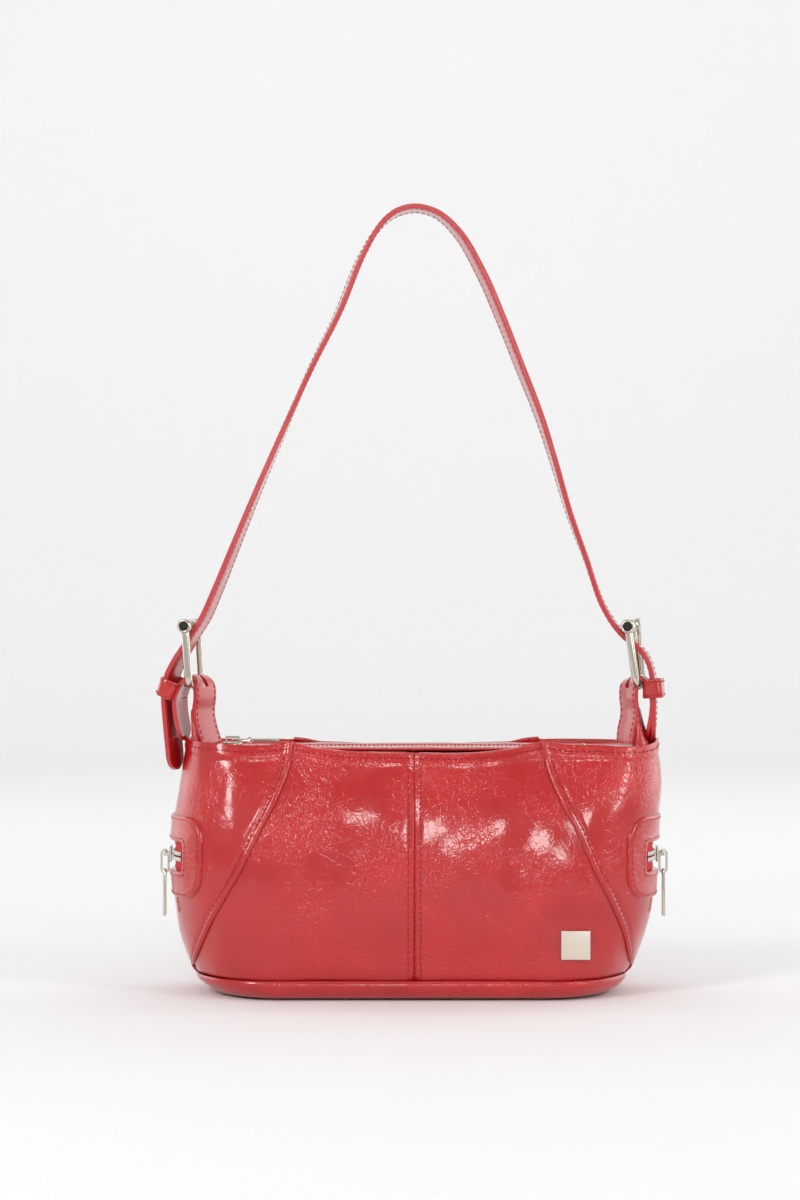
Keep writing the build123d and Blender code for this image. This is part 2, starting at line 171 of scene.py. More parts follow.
def rounded_profile(width, height, corner, per_corner=4):
    """Rounded rectangle, anticlockwise, with its corners as quarter circles."""
    turns = np.linspace(0, math.pi / 2, per_corner)
    points = []
    for k, (sx, sy) in enumerate([(1, 1), (-1, 1), (-1, -1), (1, -1)]):
        centre = np.array([sx * (width / 2 - corner), sy * (height / 2 - corner)])
        turn = turns + k * math.pi / 2
        points.append(centre + corner * np.stack([np.cos(turn), np.sin(turn)], axis=1))
    return np.concatenate(points)


def copies_of(name, template, template_faces, centres, frames, material, smooth=True):
    """One mesh of many small copies: each is turned by its frame of three axes and put at its centre."""
    centres = np.asarray(centres, float)
    frames = np.asarray(frames, float)
    points = centres[:, None, :] + np.einsum("vk,nkc->nvc", template, frames)
    shift = np.arange(len(centres))[:, None, None] * len(template)
    faces = (np.asarray(template_faces)[None, :, :] + shift).reshape(-1, 4).tolist()
    return mesh_object(name, points, faces, material, smooth)


def pill(length, width, height, rings=5, round_steps=6):
    """Stitch: a short thread, round across and tapered at both ends, with its ends drawn to a point."""
    along = np.linspace(-1, 1, rings)
    size = np.sqrt(np.clip(1 - np.abs(along) ** 2.6, 0.02, 1))
    turn = np.linspace(0, 2 * math.pi, round_steps, endpoint=False)
    points = np.stack(
        [
            np.repeat(along * length / 2, round_steps),
            (size[:, None] * np.cos(turn) * width / 2).ravel(),
            (size[:, None] * np.sin(turn) * height / 2).ravel(),
        ],
        axis=1,
    )
    return points, grid_faces(rings, round_steps, wrap_columns=True, flip=True)


def stitches(name, path, normals, material, pitch=3.3, length=2.5, width=0.95, sink=0.02):
    """Row of stitches along a path: one thread at each pitch, lying in the surface's own direction."""
    count = max(2, int(path_length(path) / pitch))
    fine = spread(path, count * 2 + 1)
    fine_normals = unit(spread(normals + 1e-6, count * 2 + 1))
    centres = fine[1::2] - fine_normals[1::2] * sink
    along = unit(fine[2::2] - fine[:-2:2])
    out = fine_normals[1::2]
    sideways = unit(np.cross(out, along))
    out = np.cross(along, sideways)
    template, faces = pill(length, width, width * 0.8)
    return copies_of(name, template, faces, centres, np.stack([along, sideways, out], axis=1), material)


def refined(node, material, bevel, segments=2, angle=30):
    """Copy of a hard CAD piece with its edges rounded, which stands for it."""
    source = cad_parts[node]
    mesh = source.data.copy()
    mesh.materials.clear()
    mesh.materials.append(material)
    shell = bmesh.new()
    shell.from_mesh(mesh)
    bmesh.ops.remove_doubles(shell, verts=shell.verts, dist=1e-6)
    bmesh.ops.dissolve_limit(shell, angle_limit=math.radians(1), verts=shell.verts, edges=shell.edges)
    shell.to_mesh(mesh)
    shell.free()
    mesh.polygons.foreach_set("use_smooth", np.ones(len(mesh.polygons), bool))
    obj = bpy.data.objects.new(node + "_finished", mesh)
    bpy.context.collection.objects.link(obj)
    round_edges(obj, bevel, segments, angle).harden_normals = True
    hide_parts(node)
    return obj


# ---------------------------------------------------------------- materials
def linear(hex_colour):
    """An sRGB hex colour as linear red, green, blue and alpha."""
    channels = [int(hex_colour[k:k + 2], 16) / 255 for k in (1, 3, 5)]
    return [c / 12.92 if c <= 0.04045 else ((c + 0.055) / 1.055) ** 2.4 for c in channels] + [1.0]


def add_node(tree, kind, settings=None, **links):
    """Adds one node, with its settings, its socket values and its links."""
    node = tree.nodes.new(kind)
    for key, value in (settings or {}).items():
        setattr(node, key, value)
    for key, value in links.items():
        by_number = key[0] == "i" and key[1:].isdigit()
        socket = node.inputs[int(key[1:]) if by_number else key.replace("_", " ")]
        if isinstance(value, bpy.types.NodeSocket):
            tree.links.new(value, socket)
        else:
            socket.default_value = value
    return node


def blank_material(name):
    """A material with a Principled shader wired to its output."""
    material = bpy.data.materials.new(name)
    material.use_nodes = True
    tree = material.node_tree
    tree.nodes.clear()
    shader = add_node(tree, "ShaderNodeBsdfPrincipled")
    output = add_node(tree, "ShaderNodeOutputMaterial")
    tree.links.new(shader.outputs["BSDF"], output.inputs["Surface"])
    return material, tree, shader


def object_place(tree):
    """The point's own place on the piece, in metres."""
    return add_node(tree, "ShaderNodeTexCoord").outputs["Object"]


def crinkle_patent(name, light, dark, crease=1.0):
    """Crinkled patent: polyurethane film on leather. A wet, clear gloss over red, broken by fine creases
    a few millimetres apart that sparkle where the light catches them."""
    material, tree, shader = blank_material(name)
    place = object_place(tree)
    warp = add_node(tree, "ShaderNodeTexNoise", None, Vector=place, Scale=1 / (9 * MM), Detail=2.0)
    shift = add_node(
        tree, "ShaderNodeVectorMath", {"operation": "SCALE"}, i0=warp.outputs["Color"], Scale=7 * MM,
    )
    bent = add_node(tree, "ShaderNodeVectorMath", {"operation": "ADD"}, i0=place, i1=shift.outputs[0])
    big = add_node(tree, "ShaderNodeTexVoronoi", {"feature": "DISTANCE_TO_EDGE"},
                   Vector=bent.outputs[0], Scale=1 / (4.5 * MM))
    big_crease = add_node(tree, "ShaderNodeMapRange", {"interpolation_type": "SMOOTHSTEP"},
                          Value=big.outputs["Distance"], i1=0.0, i2=0.07, i3=0.0, i4=1.0)
    fine = add_node(tree, "ShaderNodeTexVoronoi", {"feature": "DISTANCE_TO_EDGE"},
                    Vector=bent.outputs[0], Scale=1 / (1.7 * MM))
    fine_crease = add_node(tree, "ShaderNodeMapRange", {"interpolation_type": "SMOOTHSTEP"},
                           Value=fine.outputs["Distance"], i1=0.0, i2=0.16, i3=0.0, i4=1.0)
    wave = add_node(tree, "ShaderNodeTexNoise", None, Vector=place, Scale=1 / (22 * MM), Detail=3.0)
    patchy = add_node(tree, "ShaderNodeTexNoise", None, Vector=place, Scale=1 / (38 * MM), Detail=3.0)
    amount = add_node(
        tree, "ShaderNodeMapRange", None, Value=patchy.outputs["Fac"], i1=0.42, i2=0.58, i3=0.12, i4=1.0,
    )
    height_a = add_node(tree, "ShaderNodeMath", {"operation": "MULTIPLY"}, i0=big_crease.outputs[0], i1=0.5)
    height_b = add_node(tree, "ShaderNodeMath", {"operation": "MULTIPLY_ADD"},
                        i0=fine_crease.outputs[0], i1=0.22, i2=height_a.outputs[0])
    height_c = add_node(tree, "ShaderNodeMath", {"operation": "MULTIPLY"},
                        i0=height_b.outputs[0], i1=amount.outputs[0])
    height = add_node(tree, "ShaderNodeMath", {"operation": "MULTIPLY_ADD"},
                      i0=wave.outputs["Fac"], i1=1.6, i2=height_c.outputs[0])
    relief = add_node(tree, "ShaderNodeBump", None, Strength=0.8 * crease, Distance=0.26 * MM,
                      Height=height.outputs[0])
    tone = add_node(
        tree, "ShaderNodeMapRange", None, Value=patchy.outputs["Fac"], i1=0.3, i2=0.75, i3=0.0, i4=1.0,
    )
    colour = add_node(tree, "ShaderNodeMix", {"data_type": "RGBA"}, i0=tone.outputs[0],
                      i6=linear(dark), i7=linear(light))
    tree.links.new(colour.outputs[2], shader.inputs["Base Color"])
    tree.links.new(relief.outputs[0], shader.inputs["Normal"])
    tree.links.new(relief.outputs[0], shader.inputs["Coat Normal"])
    shader.inputs["Roughness"].default_value = 0.35
    shader.inputs["Specular IOR Level"].default_value = 0.2
    shader.inputs["Coat Weight"].default_value = 1.0
    shader.inputs["Coat Roughness"].default_value = 0.05
    shader.inputs["Coat IOR"].default_value = 1.55
    return material


def plain_metal(name, colour, roughness, scratch=0.06):
    """Nickel-plated zinc: die cast, tumbled and plated. Pale, slightly warm, with a soft polish and faint
    rub marks."""
    material, tree, shader = blank_material(name)
    place = object_place(tree)
    rub = add_node(tree, "ShaderNodeTexNoise", None, Vector=place, Scale=1 / (1.2 * MM), Detail=4.0)
    rough = add_node(tree, "ShaderNodeMapRange", None, Value=rub.outputs["Fac"], i1=0.3, i2=0.7,
                     i3=roughness - scratch, i4=roughness + scratch)
    relief = add_node(
        tree, "ShaderNodeBump", None, Strength=0.12, Distance=0.03 * MM, Height=rub.outputs["Fac"],
    )
    shader.inputs["Base Color"].default_value = linear(colour)
    shader.inputs["Metallic"].default_value = 1.0
    tree.links.new(rough.outputs[0], shader.inputs["Roughness"])
    tree.links.new(relief.outputs[0], shader.inputs["Normal"])
    return material


def woven(name, light, dark, thread):
    """Woven polyester: a matt herringbone of fine threads, painted a little lighter on their crowns as
    highlight.
    """
    material, tree, shader = blank_material(name)
    place = object_place(tree)
    warp = add_node(tree, "ShaderNodeTexWave", {"bands_direction": "DIAGONAL"}, Vector=place,
                    Scale=1 / (thread * 6.3 * MM), Distortion=0.6, Detail=1.0)
    fleck = add_node(tree, "ShaderNodeTexNoise", None, Vector=place, Scale=1 / (thread * MM), Detail=2.0)
    height = add_node(
        tree, "ShaderNodeMath", {"operation": "ADD"}, i0=warp.outputs["Fac"], i1=fleck.outputs["Fac"],
    )
    relief = add_node(tree, "ShaderNodeBump", None, Strength=0.6, Distance=0.1 * MM, Height=height.outputs[0])
    # painted highlight and shade: the colour follows the weave's relief, lighter on the thread crowns and
    # darker between them
    colour = add_node(tree, "ShaderNodeMix", {"data_type": "RGBA"}, i0=warp.outputs["Fac"],
                      i6=linear(dark), i7=linear(light))
    tree.links.new(colour.outputs[2], shader.inputs["Base Color"])
    tree.links.new(relief.outputs[0], shader.inputs["Normal"])
    shader.inputs["Roughness"].default_value = 0.75
    return material


def painted_edge(name, colour):
    """Edge paint: two coats of flexible acrylic on a cut leather edge. Satin, with a slightly uneven bead."""
    material, tree, shader = blank_material(name)
    place = object_place(tree)
    bead = add_node(tree, "ShaderNodeTexNoise", None, Vector=place, Scale=1 / (3 * MM), Detail=2.0)
    relief = add_node(
        tree, "ShaderNodeBump", None, Strength=0.25, Distance=0.15 * MM, Height=bead.outputs["Fac"],
    )
    shader.inputs["Base Color"].default_value = linear(colour)
    shader.inputs["Roughness"].default_value = 0.3
    shader.inputs["Coat Weight"].default_value = 0.5
    shader.inputs["Coat Roughness"].default_value = 0.15
    tree.links.new(relief.outputs[0], shader.inputs["Normal"])
    return material


patent = crinkle_patent("crinkle_patent_red", "#C41A1A", "#AE1416")
patent_smooth = crinkle_patent("patent_strap_red", "#C62222", "#B01A1A", crease=0.4)
edge_paint = painted_edge("edge_paint_red", "#BC2A30")
thread = woven("polyester_thread_red", "#B42228", "#8C161A", 0.3)
tape_cloth = woven("zip_tape_polyester_red", "#D41E28", "#B0141E", 0.5)
lining_cloth = woven("lining_twill_maroon", "#6A1C22", "#571218", 0.4)
nickel = plain_metal("nickel_plated_zinc", "#CFC8BC", 0.17)
satin_plate = plain_metal("satin_nickel_plate", "#E6DCCF", 0.4)
# painted shade: a near-black metal coloured to stand for the shade inside each roller collar's hollow
bore_shade = plain_metal("bore_painted_shade", "#3A3634", 0.5)
nickel_bright = plain_metal("polished_nickel_teeth", "#DEDAD2", 0.16)
board = painted_edge("base_board_fibre", "#4A4038")


# ---------------------------------------------------------------- the bag's own form
top_z = 143.0
seam_z = 11.0
plate_x, plate_z, plate_rest = 91.3, 32.5, 45.3
half_length = {
    -1: ([0, 6.4, 10.5, 16.3, 33.8, 50, 80, 102, 114.8, 133.5, 146],
         [114, 120, 125.3, 128.6, 134.5, 137.0, 139.6, 138.6, 136.8, 133.4, 130.6]),
    1: ([0, 5, 9.3, 16.9, 30.9, 44.9, 54.8, 80, 104.4, 126, 146],
        [112, 117, 121, 126.4, 132.9, 136.8, 138.4, 139.8, 140.8, 141.6, 140.4]),
}
half_depth = ([0, 11, 30, 55, 80, 100, 120, 134, 146], [39, 44, 46.2, 47.6, 47.6, 44.0, 37.4, 32, 28.2])
panel_lap = 2.2
seam_x = {
    -1: (
        [11, 21, 37.3, 56.5, 75.8, 97, 118, 134, 146],
        [129.5, 127, 120.6, 110.2, 99.6, 89.0, 78.4, 72.8, 71.4],
    ),
    1: (
        [11, 23.3, 33.8, 51.3, 72.9, 95.6, 111.6, 130, 146],
        [127, 124.5, 121.5, 114.8, 104.4, 94.0, 85.7, 78.1, 74.3],
    ),
}
front_hem = (
    [-141, -131, -100, -84, -72, -55, -37, 0, 36, 53, 75, 88, 105, 126, 142],
    [147.0, 146.8, 144.6, 144.6, 146.2, 143.2, 141.4, 140.8, 140.8, 142.6, 146.4, 144.8, 144.6, 143.2, 144.2],
)
rng = np.random.default_rng(7)
crumple_waves = []
for length, height in [(95, 0.42), (60, 0.24), (34, 0.1), (18, 0.04)]:
    for _ in range(5):
        direction = rng.normal(size=3)
        wave = direction / np.linalg.norm(direction) * 2 * math.pi / length
        crumple_waves.append((wave, rng.uniform(0, 6.28), height))


def crumple(points):
    """Slack of the leather at each point: a sum of waves 95 to 18 mm long, each in a direction of its own."""
    total = np.zeros(points.shape[:-1])
    for wave, phase, height in crumple_waves:
        total += height * np.sin(points @ wave + phase)
    return total


# soft swellings and hollows of the front: x, z, half width, half height, how far out
swells = [
    (-44, 108, 15, 19, 1.7), (-26, 82, 20, 14, -0.8), (52, 100, 13, 23, 1.5), (62, 76, 16, 13, -0.9),
    (100, 114, 12, 17, 1.3), (-104, 122, 10, 13, 1.1), (32, 42, 30, 16, 0.9), (-60, 38, 34, 15, 0.8),
    (18, 112, 13, 13, 0.8),
]


def swelling(x, z):
    """Sum of the front's swellings: each a bell as wide and as tall as its row says."""
    total = 0 * x
    for at_x, at_z, wide, tall, height in swells:
        total = total + height * bump_at(x, at_x, wide) * bump_at(z, at_z, tall)
    return total


def outline(side, z):
    """Half length of the bag on one side and its half depth at a height."""
    return smooth_through(*half_length[side], z), smooth_through(*half_depth, z)


def round_distance(side, x, z):
    """Distance round the bag from the front's middle to the place on the front where |x| is given."""
    length, depth = outline(side, z)
    straight = length - depth
    turned = depth * np.arcsin(np.clip((x - straight) / depth, -1, 1))
    return np.where(x < straight, x, straight + turned)


def half_round(side, z):
    """Distance round the bag at a height from the front's middle, past one end, to the back's middle."""
    length, depth = outline(side, z)
    return 2 * (length - depth) + math.pi * depth


def wall_at(side, distance, z, lift=0.0, slack=1.0):
    """Place on the bag's side and its outward normal. At each height the outline is two straight runs
    joined by half circles as wide as the bag is deep, and the distance runs round it from the front's
    middle. The surface then moves along its normal by its slack and by the lift."""
    z = np.asarray(z, float)
    length, depth = outline(side, z)
    straight = length - depth
    whole = half_round(side, z)
    on_back = distance > whole - straight
    turn = np.clip((distance - straight) / depth, 0, math.pi)
    x = np.where(distance < straight, distance, straight + depth * np.sin(turn))
    x = np.where(on_back, whole - distance, x)
    y = -depth * np.cos(turn)
    slope = (outline(side, z + 1)[1] - outline(side, z - 1)[1]) / 2
    normal = unit(np.stack([side * np.sin(turn), -np.cos(turn), -slope], axis=-1))
    belly = 1.6 * np.cos(np.clip(x / 118, 0, 1) * math.pi / 2)
    belly = belly * np.sin(np.clip((z - seam_z) / (top_z - seam_z), 0, 1) * math.pi)
    points = np.stack([side * x, y, z], axis=-1)
    calm = step(2, 16, z) * (1 - 0.75 * bump_at(x, 141, 16) * bump_at(z, 80, 26))
    beside = step(28, 10, np.abs(side * x - plate_x)) * step(28, 10, np.abs(z - plate_z))
    beside = beside * step(0.5, 0.9, np.cos(turn))
    flat = beside * (depth - plate_rest)
    loose = crumple(points) * calm + swelling(side * x, z) * np.clip(np.cos(turn), 0, 1)
    out = (slack * loose + belly * np.abs(np.cos(turn))) * (1 - beside) + lift - flat
    return points + normal * out[..., None], normal


def hem_z(side, distance, z_of=top_z):
    """Height of the top edge round the bag: the front edge hangs between the seams, the back edge less."""
    length, depth = outline(side, np.full_like(distance, z_of))
    straight = length - depth
    whole = half_round(side, np.full_like(distance, z_of))
    turn = np.clip((distance - straight) / depth, 0, math.pi)
    x = np.where(distance < straight, distance, straight + depth * np.sin(turn))
    x = np.where(distance > whole - straight, whole - distance, x)
    front = smooth_through(*front_hem, side * x) + 3.5 * bump_at(turn, math.pi / 2, 0.42)
    back = 144.2 - 1.6 * np.cos(np.clip(x / 75, 0, 1) * math.pi / 2) + 3.5 * bump_at(turn, math.pi / 2, 0.42)
    share = turn / math.pi
    return front * (1 - share) + back * share


def seam_pinch(distance_to_seam, depth=1.1, width=2.6):
    """How far leather is drawn in beside a seam: deepest at the seam, gone a few millimetres away."""
    return -depth * np.exp(-((distance_to_seam / width) ** 2))


def panel_grid(side, low_d, high_d, columns, rows, lift, back=False, bottom=seam_z - 1.0, pinch=(True, True)):
    """Panel between two seams: low_d and high_d give each seam's distance round the bag at a height. Its
    rows climb from the base seam to the hanging top edge, and it is drawn in beside its seams."""
    share = np.linspace(0, 1, columns)[None, :]
    rise = np.linspace(0, 1, rows)[:, None]
    z0 = bottom + (top_z - bottom) * rise + 0 * share
    low, high = low_d(z0), high_d(z0)
    distance = low + (high - low) * share
    top = hem_z(side, distance)
    z = bottom + (top - bottom) * rise
    low, high = low_d(z), high_d(z)
    distance = low + (high - low) * share
    shift = lift + seam_pinch(z - bottom, 0.9, 3.0)
    if pinch[0]:
        shift = shift + seam_pinch(distance - low)
    if pinch[1]:
        shift = shift + seam_pinch(high - distance)
    hem = 0.9 * step(8.5, 6.5, top - z)
    shift = shift + hem
    place = half_round(side, z) - distance if back else distance
    points, normals = wall_at(side, place, z, shift)
    return points, normals


def seam_distance(side):
    """Distance round the bag of a diagonal seam at a height, as a function of the height."""
    return lambda z: round_distance(side, smooth_through(*seam_x[side], z), z)


for name, side in SIDES.items():
    seam = seam_distance(side)
    for face, back in (("front", False), ("back", True)):
        points, normals = panel_grid(side, lambda z: 0 * z, seam, 84, 92, 0.0, back, pinch=(True, False))
        panel = sheet_object(f"{face}_leather_{name}", points, patent, 1.5, flip=(side > 0) != back)
        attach(panel, "bag")
        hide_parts(f"{face}_panel_{name}")

    # the side panel laps over the front and the back panels, and is pressed in under the zip's window
    rise = np.linspace(0, 1, 96)[:, None]
    share = np.linspace(0, 1, 190)[None, :]
    z = seam_z - 1 + (top_z - seam_z + 1) * rise + 0 * share
    low = seam(z) - panel_lap
    distance = low + (half_round(side, z) - 2 * low) * share
    top = hem_z(side, distance)
    z = seam_z - 1 + (top - seam_z + 1) * rise
    low = seam(z) - panel_lap
    whole = half_round(side, z)
    distance = low + (whole - 2 * low) * share
    near = np.minimum(distance - low, whole - low - distance)
    x_here = np.abs(wall_at(side, distance, z, 0, 0)[0][..., 0])
    sunk = -6.2 * step(126.0, 129.5, x_here) * step(69.0, 73.0, z) * step(91.0, 87.0, z)
    shift = 1.5 + sunk + seam_pinch(z - seam_z + 1, 0.9, 3.0) + 0.9 * step(8.5, 6.5, top - z)
    shift = shift + 0.5 * bump_at(near, 2.2, 2.0) - 0.5 * bump_at(near, 5.2, 1.6)
    shift = shift - 0.9 * bump_at(near, 0, 0.7)
    points, normals = wall_at(side, distance, z, shift)
    panel = sheet_object(f"side_leather_{name}", points, patent, 1.5, flip=side > 0, rim=0.45)
    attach(panel, "bag")
    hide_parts(f"side_panel_{name}")

    # stitches beside the diagonal seams, front and back
    for face, back in (("front", False), ("back", True)):
        z_line = np.linspace(seam_z + 2, float(hem_z(side, seam(np.array([top_z])))[0]) - 7, 120)
        line = seam(z_line) - panel_lap + 4.4
        place = half_round(side, z_line) - line if back else line
        path, normals = wall_at(side, place, z_line, 1.35)
        row = stitches(f"seam_stitches_{face}_{name}", path, normals, thread)
        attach(row, "bag")

# ---- stitches beside the middle seams and round the hem ----
for face, back in (("front", False), ("back", True)):
    for name, side in SIDES.items():
        z_line = np.linspace(seam_z + 2, 134.5, 100)
        line = np.full_like(z_line, 3.5)
        place = half_round(side, z_line) - line if back else line
        path, normals = wall_at(side, place, z_line, -0.15)
        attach(stitches(f"middle_stitches_{face}_{name}", path, normals, thread), "bag")

for name, side in SIDES.items():
    seam = seam_distance(side)
    whole = float(half_round(side, np.array([top_z - 4]))[0])
    edge = float(seam(np.array([top_z - 4]))[0]) - panel_lap
    for part, first, last, proud in (
        ("front", 1.5, edge - 0.5, 1.0),
        ("end", edge + 1.5, whole - edge - 1.5, 2.45),
        ("back", whole - edge + 0.5, whole - 1.5, 1.0),
    ):
        line = np.linspace(first, last, 140)
        z_line = hem_z(side, line) - 3.6
        path, normals = wall_at(side, line, z_line, proud)
        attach(stitches(f"hem_stitches_{part}_{name}", path, normals, thread), "bag")

# ---- base: rolled edge under the seam, then flat to the middle ----
roll = np.array(
    [
        [0.2, 11.6], [1.5, 11.0], [2.3, 9.4], [2.6, 7.2], [2.2, 4.8], [1.2, 2.6], [-0.4, 1.0], [-2.4, 0.35],
        [-4.6, 0.2],
    ]
)
inward = np.array([1.0, 0.82, 0.62, 0.42, 0.2, 0.0])
turn = np.linspace(0, 1, 150)
rows = []
for side in (1, -1):
    ring_rows = []
    for lift, height in roll:
        z_row = np.full(150, height)
        place = half_round(side, z_row) * (turn if side > 0 else turn[::-1])
        ring_rows.append(wall_at(side, place, z_row, lift, 0.5)[0])
    rows.append(np.stack(ring_rows))
ring = np.concatenate([rows[0], rows[1][:, 1:-1]], axis=1)
floor_rim = ring[-1]
under = [floor_rim * [k, k, 1] for k in inward[1:]]
base_points = np.concatenate([ring, np.stack(under)], axis=0)
base_points[..., 2] = np.maximum(base_points[..., 2], 0.15)
base = ring_object("base_leather", base_points, patent)
weld = base.modifiers.new("weld", "WELD")
weld.merge_threshold = 0.02 * MM
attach(base, "bag")
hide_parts("base_panel")


# ---------------------------------------------------------------- patches and end zips
def rounded_loop(half_wide, half_tall, corner, count):
    """Rounded rectangle about the middle, as points at equal steps of its length."""
    profile = rounded_profile(2 * half_wide, 2 * half_tall, corner, per_corner=14)
    closed = np.concatenate([profile, profile[:1]])
    closed = np.concatenate([closed, np.zeros((len(closed), 1))], axis=1)
    return spread(closed, count + 1)[:-1, :2]


def end_place(side, offset, z, lift):
    """Place near the bag's end: offset is the distance round it, forward or back of its furthest point."""
    return wall_at(side, half_round(side, z) / 2 + offset, z, lift, 0.45)


def end_reach(side, x, z=80.0):
    """Distance round the bag from its furthest point to the place where |x| is given."""
    at = np.array([z])
    return float(half_round(side, at)[0] / 2 - round_distance(side, np.array([x]), at)[0])


patch_mid, patch_half = 80.0, 23.5
window_half = 8.2
bow_centre, bow_radius, bow_turn = 93, 46.3, 62
steps_across = np.array([0.0, 0.02, 0.06, 0.12, 0.25, 0.4, 0.55, 0.7, 0.82, 0.9, 0.95, 0.98, 1.0])
edge_lift = np.array([-1.6, 0.3, 0.85, 0.95, 0.8, 0.7, 0.7, 0.75, 0.9, 1.05, 0.9, 0.35, -2.6])
for name, side in SIDES.items():
    outer = rounded_loop(end_reach(side, 120.7), patch_half, 15, 260)
    inner = rounded_loop(end_reach(side, 131.5) + 0.5, window_half, 3.0, 260)
    share = steps_across[:, None, None]
    plan = outer[None] * (1 - share) + inner[None] * share
    points, normals = end_place(side, plan[..., 0], patch_mid + plan[..., 1], 2.2 + edge_lift[:, None])
    patch = ring_object(f"zip_patch_leather_{name}", points, patent, flip=side > 0)
    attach(patch, "bag")
    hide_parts(f"patch_{name}")
    for part, loop, beyond_long, beyond_tall, half_tall in (
        ("outer", outer, -2.4, -2.4, patch_half),
        ("window", inner, 2.4, 2.2, window_half),
    ):
        half_long = abs(loop[:, 0]).max()
        centre_line = loop * [1 + beyond_long / half_long, 1 + beyond_tall / half_tall]
        closed = np.concatenate([centre_line, centre_line[:1]])
        path, normals = end_place(side, closed[:, 0], patch_mid + closed[:, 1], 3.0)
        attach(stitches(f"patch_stitches_{part}_{name}", path, normals, thread), "bag")

    # tape behind the window, bowed round the end like the chain it carries
    for row, low, high in (("upper", 80.45, 91.0), ("lower", 69.0, 79.55)):
        bow = np.linspace(-bow_turn, bow_turn, 70)[None, :] * math.pi / 180
        rise = np.linspace(low, high, 12)[:, None]
        radius = bow_radius + 0.25 * np.cos((rise - patch_mid) * 1.9) + 0 * bow
        x = side * (bow_centre + radius * np.cos(bow))
        points = np.stack([x, radius * np.sin(bow), rise + 0 * bow], axis=-1)
        tape = sheet_object(f"end_zip_tape_{row}_{name}", points, tape_cloth, 0.6, flip=side > 0)
        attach(tape, "bag")
        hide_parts(f"side_zip_tape_{name}")

# ---------------------------------------------------------------- top: facings, tapes, closed ends
ruffle = rng.uniform(0, 6.28, 6)
mouth_x = (-76, 84)
facing_outer, facing_inner, chain_gap = 25.7, 12.6, 2.9
facing_z, tape_z = 142.75, 142.1


def top_sheet(
    name, body, node, material, x_range, y_range, height, wall, dome=0.0,
    crumpled=0.25,
):
    """Flat leather or tape between two lengths and two depths: level, with a low dome and its own slack."""
    x = np.linspace(*x_range, 130)[None, :]
    y = np.linspace(*y_range, 14)[:, None]
    middle = np.clip(1 - ((y - np.mean(y_range)) / (np.ptp(y_range) / 2)) ** 2, 0, 1)
    slack = np.sin(x / 9 + ruffle[0]) + np.sin(x / 5.3 + ruffle[1] + y / 4)
    slack = slack + np.sin(x / 16 + y / 6 + ruffle[2])
    z = height + dome * middle + crumpled * slack / 3 * middle
    points = np.stack([x + 0 * y, y + 0 * x, z], axis=-1)
    piece = sheet_object(name, points, material, wall, flip=True, rim=min(wall * 0.4, 0.4))
    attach(piece, body)
    if node:
        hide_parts(node)
    return piece


for face, sign in (("front", -1), ("back", 1)):
    top_sheet(f"facing_leather_{face}", f"{face}_flap", f"facing_{face}", patent, mouth_x,
              sorted((sign * facing_outer, sign * facing_inner)), facing_z, 1.4, 0.9)
    top_sheet(f"zip_tape_cloth_{face}", f"{face}_flap", f"zip_tape_{face}", tape_cloth, mouth_x,
              sorted((sign * (facing_inner + 1.4), sign * chain_gap)), tape_z, 0.6, 0.0,
              0.1)
    for label, y in (("inner", sign * (facing_inner + 2.3)), ("outer", sign * (facing_outer - 2.3))):
        x = np.linspace(mouth_x[0] + 2, mouth_x[1] - 2, 160)
        line = np.stack([x, np.full(160, y), np.full(160, facing_z + 0.2)], axis=1)
        up = np.tile([0.0, 0.0, 1.0], (160, 1))
        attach(stitches(f"facing_stitches_{label}_{face}", line, up, thread), f"{face}_flap")



def mouth_end(side, start):
    """Closed end of the mouth: rows run from the chain's end to the bag's end, each as wide as the bag's
    inside there, and the leather dips a little along its middle."""
    length, depth = outline(side, np.array([top_z]))
    inside_length, inside_depth = float(length[0]) - 1.2, float(depth[0]) - 0.6
    straight = inside_length - inside_depth
    share = np.sin(np.linspace(0, 1, 60) * math.pi / 2)
    x = start + (inside_length - start) * share
    width = inside_depth * round_end((x - straight) / inside_depth, 0.0004)
    share = np.linspace(0, 1, 20)[None, :]
    half = np.minimum(chain_gap, width[:, None] * 0.5)
    y = half + (width[:, None] - half) * share
    y = np.concatenate([-y[:, ::-1], y], axis=1)
    across = np.linspace(-1, 1, 40)
    slack = np.sin(x[:, None] / 6 + y / 5) + np.sin(y / 3.1 + x[:, None] / 11)
    z = 142.6 + 0.5 * np.abs(across[None, :]) ** 2 + 0.16 * slack
    return np.stack([side * x[:, None] + 0 * y, y, z], axis=-1)


for name, side, start, gap_end in (("left", -1, 76.5, 111.8), ("right", 1, 84.5, 98.0)):
    points = mouth_end(side, start)
    faces = np.array(grid_faces(*points.shape[:2], flip=side < 0)).reshape(points.shape[0] - 1, -1, 4)
    middle_column = np.arange(faces.shape[1]) == faces.shape[1] // 2
    opened = (np.abs(points[:-1, :1, 0]) < gap_end) & middle_column[None, :]
    end = mesh_object(f"mouth_leather_{name}", points, faces[~opened].tolist(), patent)
    thicken(end, 1.3)
    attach(end, "bag")
    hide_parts(f"mouth_end_{name}")
    for label, sign in (("front", -1), ("back", 1)):
        x = np.linspace(start + 2, start + 17, 40) * side
        line = np.stack([x, np.full(40, sign * 4.2), np.full(40, 142.9)], axis=1)
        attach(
            stitches(f"mouth_stitches_{label}_{name}", line, np.tile([0.0, 0.0, 1.0], (40, 1)), thread),
            "bag",
        )

